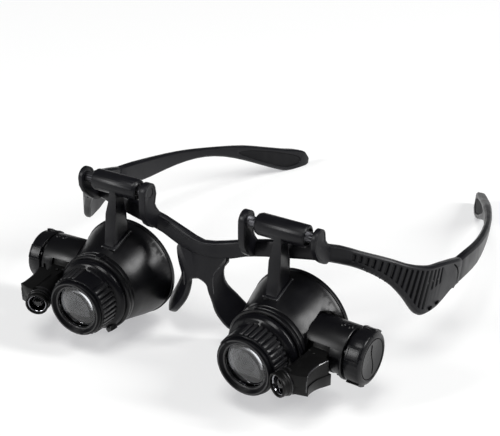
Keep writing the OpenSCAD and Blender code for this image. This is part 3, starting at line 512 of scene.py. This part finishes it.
def hand_over(piece, name, finish, body, angle=35):
    """Names, shades and paints a finished piece, and lets it ride on its body."""
    piece.name = name
    piece.data.name = name
    alone(piece)
    bpy.ops.object.shade_smooth_by_angle(angle=math.radians(angle))
    paint(piece, finish)
    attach(piece, body)


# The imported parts, with rounded edges and smooth shading

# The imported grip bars' tops: along the lens axis and away from it
GRIP_ALONG = (17.2, 23.8)
GRIP_REACH = (10.25, 10.9)
# Distance from the axis to which they are sunk
GRIP_SUNK = 10.12
# The rod's head lies nearer to the middle plane than this, and its face is set back
ROD_HEAD = 17.8
ROD_HEAD_FACE = 17.95
# Thickness of each end of the rod that looks like the frame's plastic
ROD_CAP = 0.2
# The arm's packed width, and the height below which it is shaped
ARM_WIDTH = 3.6
ARM_TOP = -0.5
# Heights from the rod's axis, and the factor on the arm's width at each
ARM_FORM = (
    (-2.0, 0.68), (-4.5, 0.82), (-6.5, 1.02), (-10.0, 1.24), (-13.5, 1.2), (-15.5, 1.08),
    (-17.2, 1.0))
# Radius inside which the bezel is glossy and painted lighter as a highlight
LIP_RADIUS = 7.9
# Small round parts whose faces aren't flattened
KEEP_FACES = ("lamp_led", "lamp_reflector")


def press_grip_flat(piece, side):
    """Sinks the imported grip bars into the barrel, where the full grip ridges cover them."""
    place = lens_place(side)
    back = place.inverted()
    for point in piece.data.vertices:
        drawn = back @ point.co / MM
        reach = math.hypot(drawn.x, drawn.y)
        along = GRIP_ALONG[0] < drawn.z < GRIP_ALONG[1]
        if along and GRIP_REACH[0] < reach < GRIP_REACH[1]:
            drawn.x *= GRIP_SUNK / reach
            drawn.y *= GRIP_SUNK / reach
            point.co = place @ (drawn * MM)


def press_rod_head(piece, side):
    """Sinks the rod's head into the inner ear, so that the ear's face stays plain."""
    for point in piece.data.vertices:
        if abs(point.co.x) < ROD_HEAD * MM:
            point.co.x = ROD_HEAD_FACE * MM * side


def arm_factor(height):
    """Factor on the arm's width at a height from the rod's axis."""
    for (above, before), (below, after) in zip(ARM_FORM, ARM_FORM[1:]):
        if below <= height < above:
            return before + (after - before) * (above - height) / (above - below)
    return ARM_FORM[0][1]


def shape_arm(piece, side):
    """Gives the arm a narrow neck and a fuller middle."""
    place = arm_place(side)
    back = place.inverted()
    foot = ARM_FORM[-1][0]
    for point in piece.data.vertices:
        drawn = back @ point.co / MM
        on_flank = abs(abs(drawn.x) - ARM_WIDTH / 2) <= 0.05
        if on_flank and foot < drawn.z < ARM_TOP:
            drawn.x *= arm_factor(drawn.z)
            point.co = place @ (drawn * MM)


def plain_rod_ends(piece, _side):
    """Gives the rod's end faces the frame's plastic, as caps that are flush with the ears."""
    reach = [abs(point.co.x) for point in piece.data.vertices]
    low, high = min(reach) + ROD_CAP * MM, max(reach) - ROD_CAP * MM
    paint_faces(piece, "frame", lambda centre: not low < abs(centre.x) < high)


def paint_lip_highlight(piece, side):
    """A glossy inner lip on the bezel, painted lighter as a thin crescent of highlight."""
    back = lens_place(side).inverted()
    paint_faces(piece, "ridge", lambda centre: (back @ centre).xy.length < LIP_RADIUS * MM)


RESHAPE = {"lens_barrel": press_grip_flat, "pivot_rod": press_rod_head, "hanger": shape_arm}
REPAINT = {"lens_bezel": paint_lip_highlight, "pivot_rod": plain_rod_ends}


def refine(node, stem, finish, side=0):
    """A smooth-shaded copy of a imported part, with its sharp edges rounded."""
    mesh = nodes[node].data.copy()
    mesh.name = node + "_rounded"
    piece = bpy.data.objects.new(node + "_rounded", mesh)
    bpy.context.scene.collection.objects.link(piece)
    edit_all(piece)
    bpy.ops.mesh.remove_doubles(threshold=MERGE_WITHIN * MM)
    if stem not in KEEP_FACES:
        bpy.ops.mesh.dissolve_limited(angle_limit=math.radians(0.6))
    done()
    if stem in RESHAPE:
        RESHAPE[stem](piece, side)
    if stem in ROUNDING:
        apply_modifier(
            piece, "BEVEL", width=ROUNDING[stem] * MM, segments=2, limit_method="ANGLE",
            angle_limit=math.radians(38), use_clamp_overlap=True)
    alone(piece)
    bpy.ops.object.shade_smooth_by_angle(angle=math.radians(40))
    paint(piece, finish)
    body = next(name for name, held in bodies.items() if node in held)
    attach(piece, body)
    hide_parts(node)
    if stem in REPAINT:
        REPAINT[stem](piece, side)


refine("front_frame", "front_frame", "frame")
for stem, finish in NODE_FINISH.items():
    for label, side in SIDES:
        refine(f"{stem}_{label}", stem, finish, side)


# The lens head

LENS_RADIUS = 8.2
LENS_EDGE = 1.8
LENS_CURVE = 30.0
# Radius of the domed part, inside the flat rim
LENS_CLEAR = 7.2
# Distance from the eyecup's origin to the middle of the lens
LENS_MIDDLE = 22.52
# Equal steps from the dome's rim to its middle, of which the innermost stays flat
LENS_STEPS = 12

RIDGE_COUNT = 14
RIDGE_PITCH = 9.7
# Turn of the first ridge
RIDGE_START = {"left": -24, "right": -43}
# Turn from the first ridge to the lug
LUG_TURN = 278


def make_lens(label, side):
    """The double-domed lens as rings of even faces, so that it refracts cleanly."""
    bpy.ops.object.select_all(action="DESELECT")
    bpy.ops.mesh.primitive_cylinder_add(
        vertices=128, radius=LENS_RADIUS * MM, depth=LENS_EDGE * MM,
        location=(0, 0, LENS_MIDDLE * MM))
    lens = bpy.context.object
    bpy.ops.object.transform_apply(location=True)
    step = LENS_CLEAR / LENS_STEPS
    radii = [LENS_CLEAR - step * i for i in range(LENS_STEPS)]
    heights = [math.sqrt(LENS_CURVE ** 2 - radius ** 2) for radius in radii]
    for way in (1, -1):
        edit(lens)
        pick(lens, lambda middle, normal: normal.z * way > 0.9)
        bpy.ops.mesh.inset(thickness=(LENS_RADIUS - LENS_CLEAR) * MM, depth=0)
        for before, after in zip(heights, heights[1:]):
            bpy.ops.mesh.inset(thickness=step * MM, depth=(after - before) * MM)
        done()
    settle(lens, lens_place(side))
    hand_over(lens, f"lens_clear_{label}", "glass", f"lens_head_{label}", 30)
    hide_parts(f"lens_{label}")


def make_grip_ridges(label, side):
    """Two groups of ridges round the barrel, lower toward the front, and a lug below them, lighter than the barrel
    as painted light on their tops.
    """
    ridge = rounded_bar(size=(1.3, 1.08, 6.3), middle=(10.35, 0, 20.25), edge=0.26, segments=3)
    edit(ridge)
    pick(ridge, lambda middle, normal: middle.z > 23.0)
    bpy.ops.transform.translate(value=(-0.45 * MM, 0, 0))
    done()
    first = RIDGE_START[label]
    angles = [first + RIDGE_PITCH * i + turn for turn in (0, 180) for i in range(RIDGE_COUNT)]
    ridges = turned_copies(ridge, "grip", angles)
    lug = rounded_bar(size=(1.8, 4.2, 2.4), middle=(12.7, 0, 16.2), edge=0.35)
    edit(lug)
    pick(lug, lambda middle, normal: middle.z > 17.0)
    bpy.ops.transform.resize(value=(0.9, 0.5, 1), center_override=(12.6 * MM, 0, 17.2 * MM))
    done()
    ridges = merge([ridges, turned_copies(lug, "lug", [first + LUG_TURN])], "grip")
    settle(ridges, lens_place(side))
    hand_over(ridges, f"grip_ridges_{label}", "ridge", f"lens_head_{label}")


# The battery cap

# Radius round which the finger pads are bent, the arc of one, and the turns of the four
PAD_RADIUS = 9.0
PAD_ARC = 30
PAD_TURNS = (237, 327, 57, 147)
# Distance along the tube from the eyecup's origin to the ring and the wave
CAP_FACE = 31.0
WAVE_LENGTH = 10.4


def make_cap_pads(label, side):
    """Four framed finger pads round the battery cap, and a tab."""
    width = PAD_RADIUS * math.radians(PAD_ARC)
    pad = rounded_bar(size=(0.9, width, 4.3), middle=(8.75, 0, 28.05), edge=0.1, segments=1)
    edit(pad)
    pick(pad, lambda middle, normal: normal.x > 0.99)
    bpy.ops.mesh.inset(thickness=0.42 * MM, depth=0)
    bpy.ops.mesh.inset(thickness=0.16 * MM, depth=-0.16 * MM)
    bpy.ops.mesh.select_all(action="SELECT")
    bpy.ops.mesh.subdivide(number_cuts=3)
    done()
    for point in pad.data.vertices:
        reach, turn = point.co.x, point.co.y / (PAD_RADIUS * MM)
        point.co.x = reach * math.cos(turn)
        point.co.y = reach * math.sin(turn)
    pads = turned_copies(pad, "pads", PAD_TURNS)
    tab = rounded_bar(size=(1.3, 1.1, 0.9), middle=(8.0, 0, 25.5), edge=0.2)
    pads = merge([pads, turned_copies(tab, "tab", PAD_TURNS[:1])], "pads")
    settle(pads, tube_place(side))
    hand_over(pads, f"cap_pads_{label}", "cap", f"cap_{label}")


def make_cap_face(label, side):
    """A ring and one thin waved ridge on the cap's matt end, near-black as painted shade of the relief."""
    ring = bead_ring(radius=6.5, thick=0.13, along=CAP_FACE)
    wave = rounded_bar(
        size=(WAVE_LENGTH, 0.24, 0.26), middle=(0, 0, CAP_FACE), edge=0.06, segments=1)
    edit_all(wave)
    bpy.ops.mesh.subdivide(number_cuts=9)
    done()
    swing, shift = 0.6, -0.2
    for point in wave.data.vertices:
        along = point.co.x / (WAVE_LENGTH / 2 * MM)
        point.co.y += (swing * math.sin(along * math.pi * 0.9) + shift) * MM
    face = merge([ring, wave], "face")
    settle(face, tube_place(side))
    hand_over(face, f"cap_face_{label}", "groove", f"cap_{label}")


# The lamp

# Middles of the studs on the carrier, from the eyecup's origin
STUDS = ((14.7, -11.2, 3.85), (16.6, -12.0, 3.85))
# The thumb plate's edge from the eyecup's origin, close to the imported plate's outline
FIN_EDGE = (
    (21.95, -24.75, -1.2), (21.95, -24.75, 0.8), (21.9, -24.6, 2.6), (21.65, -23.8, 3.7),
    (21.45, -22.4, 3.98), (21.35, -20.4, 4.08), (21.45, -18.8, 4.15), (21.75, -17.2, 4.22),
    (22.25, -15.6, 4.28), (22.8, -14.1, 4.34))


def make_lamp_rings(label, side):
    """Two beads round the lamp head, lighter than its plastic as painted highlights, and two low studs on top of
    its carrier.
    """
    front = bead_ring(radius=3.92, thick=0.24, along=24.9)
    rear = bead_ring(radius=4.02, thick=0.26, along=23.2)
    rings = merge([front, rear], "rings")
    settle(rings, lamp_place(side))
    hand_over(rings, f"lamp_beads_{label}", "ridge", f"lamp_{label}")
    studs = merge([small_dome(radius=0.6, flat=0.7, middle=at) for at in STUDS], "studs")
    settle(studs, eye_place(side))
    hand_over(studs, f"lamp_studs_{label}", "lamp", f"lamp_{label}")


def make_fin_edge(label, side):
    """The rounded edge of the lamp's thumb plate, up its front and along its top, in a lighter plastic that paints
    its highlight.
    """
    edge = bead_line("edge", FIN_EDGE, 0.22)
    settle(edge, swung_place(side))
    hand_over(edge, f"fin_edge_{label}", "bead", f"lamp_{label}")


# The rod's ears and the arm

# Radius of the line over an ear's round top
EAR_TOP = 2.75
# Distances of each ear's two faces from the middle plane
INNER_EAR = (17.82, 19.88)
OUTER_EAR = (43.22, 44.68)
# Each outline beside the rod as (y, z): up the front, and down the rear
INNER_FRONT = ((0.4, -12.0), (-1.2, -10.2), (-2.3, -8.0), (-2.85, -5.5), (-2.8, -3))
INNER_REAR = ((2.95, -1.7), (2.55, -3.2), (2.1, -4.9), (2.9, -6.9))
OUTER_FRONT = ((2.4, -8.7), (0.3, -6.9), (-1.5, -4.7), (-2.7, -2.1))
OUTER_REAR = ((3.2, -2.1), (4.5, -3.8), (6.4, -4.9))

# The arm's seat on the eyecup: its size, its middle beside the sleeve's, and its slope
SEAT_SIZE = (5.1, 10.1)
SEAT_MIDDLE = (0, -2.6, -19.2)
SEAT_SLOPE = 16.3


def ear_outline(front, rear):
    """An ear's outline, up its front, round its top and down its rear."""
    turns = [math.radians(turn) for turn in range(180, -30, -30)]
    top = [(EAR_TOP * math.cos(turn), EAR_TOP * math.sin(turn)) for turn in turns]
    return [*front, *top, *rear]


def make_ear_rims(label, side):
    """A fine raised line just inside the outline of both ears, on each flat face."""
    inner = ear_outline(INNER_FRONT, INNER_REAR)
    outer = ear_outline(OUTER_FRONT, OUTER_REAR)
    lines = []
    for faces, outline in ((INNER_EAR, inner), (OUTER_EAR, outer)):
        for across in faces:
            lines.append(bead_line("line", [(across, y, z) for y, z in outline], 0.16))
    rims = merge(lines, "rims")
    settle(rims, rod_place(side))
    hand_over(rims, f"ear_rims_{label}", "frame", "frame")


def make_seat_lip(label, side):
    """The thin raised line round the arm's seat on the eyecup, with round corners, in a lighter plastic that
    paints its highlight.
    """
    bpy.ops.object.select_all(action="DESELECT")
    bpy.ops.mesh.primitive_plane_add(size=1)
    lip = bpy.context.object
    lip.scale = (SEAT_SIZE[0] * MM, SEAT_SIZE[1] * MM, 1)
    bpy.ops.object.transform_apply(scale=True)
    edit_all(lip)
    bpy.ops.mesh.inset(thickness=0.4 * MM, depth=0)
    bpy.ops.mesh.delete(type="FACE")
    done()
    apply_modifier(lip, "SOLIDIFY", thickness=0.6 * MM, offset=0)
    apply_modifier(lip, "BEVEL", width=0.12 * MM, segments=2)
    corner_x, corner_y = (length / 2 - 0.15 for length in SEAT_SIZE)
    corners = [
        small_dome(radius=0.42, flat=1, middle=(x, y, 0.05))
        for x in (-corner_x, corner_x) for y in (-corner_y, corner_y)]
    lip = merge([lip] + corners, "lip")
    settle(lip, arm_place(side) @ moved(*SEAT_MIDDLE) @ turned(SEAT_SLOPE, "X"))
    hand_over(lip, f"seat_lip_{label}", "bead", f"eyepiece_{label}")


def make_sleeve_beads(label, side):
    """A bead round each end of the arm's sleeve."""
    outer = bead_ring(radius=3.38, thick=0.2, along=8.35)
    inner = bead_ring(radius=3.1, thick=0.2, along=-8.3)
    beads = merge([outer, inner], "beads")
    settle(beads, arm_place(side) @ turned(90, "Y"))
    hand_over(beads, f"sleeve_beads_{label}", "frame", f"eyepiece_{label}")


# The front frame's lines and dots, where the photograph shows them

# Pixels of the photograph, as column and row: the brow's lip on one side of the middle plane
BROW_PIXELS = (
    (165, 221), (172, 226.5), (177.6, 230.6), (184, 235), (190, 239), (197.3, 242.1))
# Pixels down the crease of a nose wing, its upper end, and how deep the line is sunk
CREASE_PIXELS = ((218, 269), (214.5, 273.4), (213, 283), (213.9, 293.8))
CREASE_TOP = (7.6, -59.5, 32.0)
CREASE_SUNK = Vector((0, 0.08, 0))
# Pixels of the end piece's small raised dots, lighter than the frame as painted glints
DOT_PIXELS = (
    (363, 268.6), (367, 271.5), (372, 273.5), (376, 275.5), (380, 278), (385, 281),
    (389, 283.5), (428, 283), (433, 281), (438, 279))
# The end piece's curved groove and its two notches, near-black as painted shade
HOOK = (
    (70.9, -17.6, 31.2), (71.25, -16.2, 30.0), (71.4, -14.9, 28.2), (71.4, -14.3, 26.0),
    (71.3, -14.9, 23.6), (71.0, -16.6, 21.9))
NOTCHES = ((69.2, -31.2, 21.2), (69.95, -27.5, 21.6))


def make_brow_lip():
    """The brow's lip line, the same on both sides of the middle plane."""
    near = [seen_on_frame(*pixel) for pixel in BROW_PIXELS]
    far = [(-x, y, z) for x, y, z in reversed(near)]
    brow = bead_line("brow", near + far, 0.2)
    hand_over(brow, "brow_lip", "frame", "frame")


def make_frame_lines(label, side):
    """A nose wing's crease and an end piece's dots, lighter than the frame as painted highlights, and the end
    piece's groove and notches, near-black as painted shade.
    """
    traced = [seen_on_frame(*pixel) + CREASE_SUNK for pixel in CREASE_PIXELS]
    crease = bead_line("crease", [CREASE_TOP, *traced], 0.22)
    dots = [
        small_dome(radius=0.34, flat=0.8, middle=seen_on_frame(*pixel)) for pixel in DOT_PIXELS]
    trim = merge([crease] + dots, "trim")
    settle(trim, mirrored(side))
    hand_over(trim, f"frame_beads_{label}", "bead", "frame")
    hook = bead_line("hook", HOOK, 0.42)
    notches = [rounded_bar(size=(1.1, 1.8, 1.0), middle=at, edge=0.2) for at in NOTCHES]
    dark = merge([hook] + notches, "dark")
    settle(dark, mirrored(side))
    hand_over(dark, f"end_piece_grooves_{label}", "groove", "frame")


for label, side in SIDES:
    make_lens(label, side)
    make_grip_ridges(label, side)
    make_cap_pads(label, side)
    make_cap_face(label, side)
    make_lamp_rings(label, side)
    make_fin_edge(label, side)
    make_ear_rims(label, side)
    make_seat_lip(label, side)
    make_sleeve_beads(label, side)
make_brow_lip()
for label, side in SIDES:
    make_frame_lines(label, side)


# Floor, light and camera, in metres

def make_floor():
    """Pale floor that stays white to the camera and keeps the object's shadow."""
    bpy.ops.object.select_all(action="DESELECT")
    bpy.ops.mesh.primitive_plane_add(size=6, location=(0, 0, -0.0002))
    floor = bpy.context.object
    floor.name = "floor"
    bpy.ops.object.transform_apply(location=True)
    made = bpy.data.materials.new("pale_floor")
    made.use_nodes = True
    tree = made.node_tree
    tree.nodes.clear()
    output = tree.nodes.new("ShaderNodeOutputMaterial")
    plain = tree.nodes.new("ShaderNodeBsdfDiffuse")
    plain.inputs["Color"].default_value = (0.8, 0.8, 0.81, 1)
    shaded = tree.nodes.new("ShaderNodeBsdfDiffuse")
    shaded.inputs["Color"].default_value = (0.55, 0.552, 0.538, 1)
    glow = tree.nodes.new("ShaderNodeEmission")
    glow.inputs["Color"].default_value = (0.42, 0.42, 0.432, 1)
    glow.inputs["Strength"].default_value = 1
    both = tree.nodes.new("ShaderNodeAddShader")
    tree.links.new(shaded.outputs[0], both.inputs[0])
    tree.links.new(glow.outputs[0], both.inputs[1])
    rays = tree.nodes.new("ShaderNodeLightPath")
    seen = rays.outputs["Is Camera Ray"]
    for ray in ("Is Transmission Ray", "Is Glossy Ray"):
        either = tree.nodes.new("ShaderNodeMath")
        either.operation = "MAXIMUM"
        tree.links.new(seen, either.inputs[0])
        tree.links.new(rays.outputs[ray], either.inputs[1])
        seen = either.outputs[0]
    switch = tree.nodes.new("ShaderNodeMixShader")
    tree.links.new(seen, switch.inputs[0])
    tree.links.new(plain.outputs[0], switch.inputs[1])
    tree.links.new(both.outputs[0], switch.inputs[2])
    tree.links.new(switch.outputs[0], output.inputs["Surface"])
    floor.data.materials.append(made)


def soft_box(name, place, aim, size, power):
    """A soft box of that width and height, in watts, that points at aim."""
    data = bpy.data.lights.new(name, "AREA")
    data.shape = "RECTANGLE"
    data.size, data.size_y = size
    data.energy = power
    lamp = bpy.data.objects.new(name, data)
    bpy.context.scene.collection.objects.link(lamp)
    lamp.location = place
    lamp.rotation_mode = "QUATERNION"
    lamp.rotation_quaternion = (Vector(aim) - Vector(place)).to_track_quat("-Z", "Y")


def make_world():
    """Even pale surroundings."""
    world = bpy.data.worlds.new("pale_surroundings")
    world.use_nodes = True
    back = world.node_tree.nodes["Background"]
    back.inputs["Color"].default_value = (0.96, 0.97, 1, 1)
    back.inputs["Strength"].default_value = 0.06
    bpy.context.scene.world = world


def make_camera():
    """The camera at the photograph's viewing angle, its optical axis a little off centre."""
    data = bpy.data.cameras.new("camera")
    data.sensor_width = 36
    data.lens = FOCAL_PIXELS / PHOTO_WIDTH * data.sensor_width
    data.shift_x, data.shift_y = CAMERA_SHIFT
    data.clip_start, data.clip_end = 0.02, 20
    camera = bpy.data.objects.new("camera", data)
    bpy.context.scene.collection.objects.link(camera)
    place = Matrix(view_axes()).transposed().to_4x4()
    place.translation = CAMERA_PLACE
    camera.matrix_world = place
    bpy.context.scene.camera = camera


make_floor()
soft_box("front_left_box", (-1.29, -2.01, 1.26), (0, -0.06, 0.02), size=(0.30, 0.95), power=32)
soft_box("right_box", (2.12, 0.62, 1.55), (0, -0.04, 0.02), size=(0.34, 1.7), power=62)
soft_box("top_box", (0.20, -1.0, 2.6), (0, -0.02, 0.02), size=(1.2, 1.0), power=38)
make_world()
make_camera()

bpy.context.scene.view_settings.view_transform = "Standard"
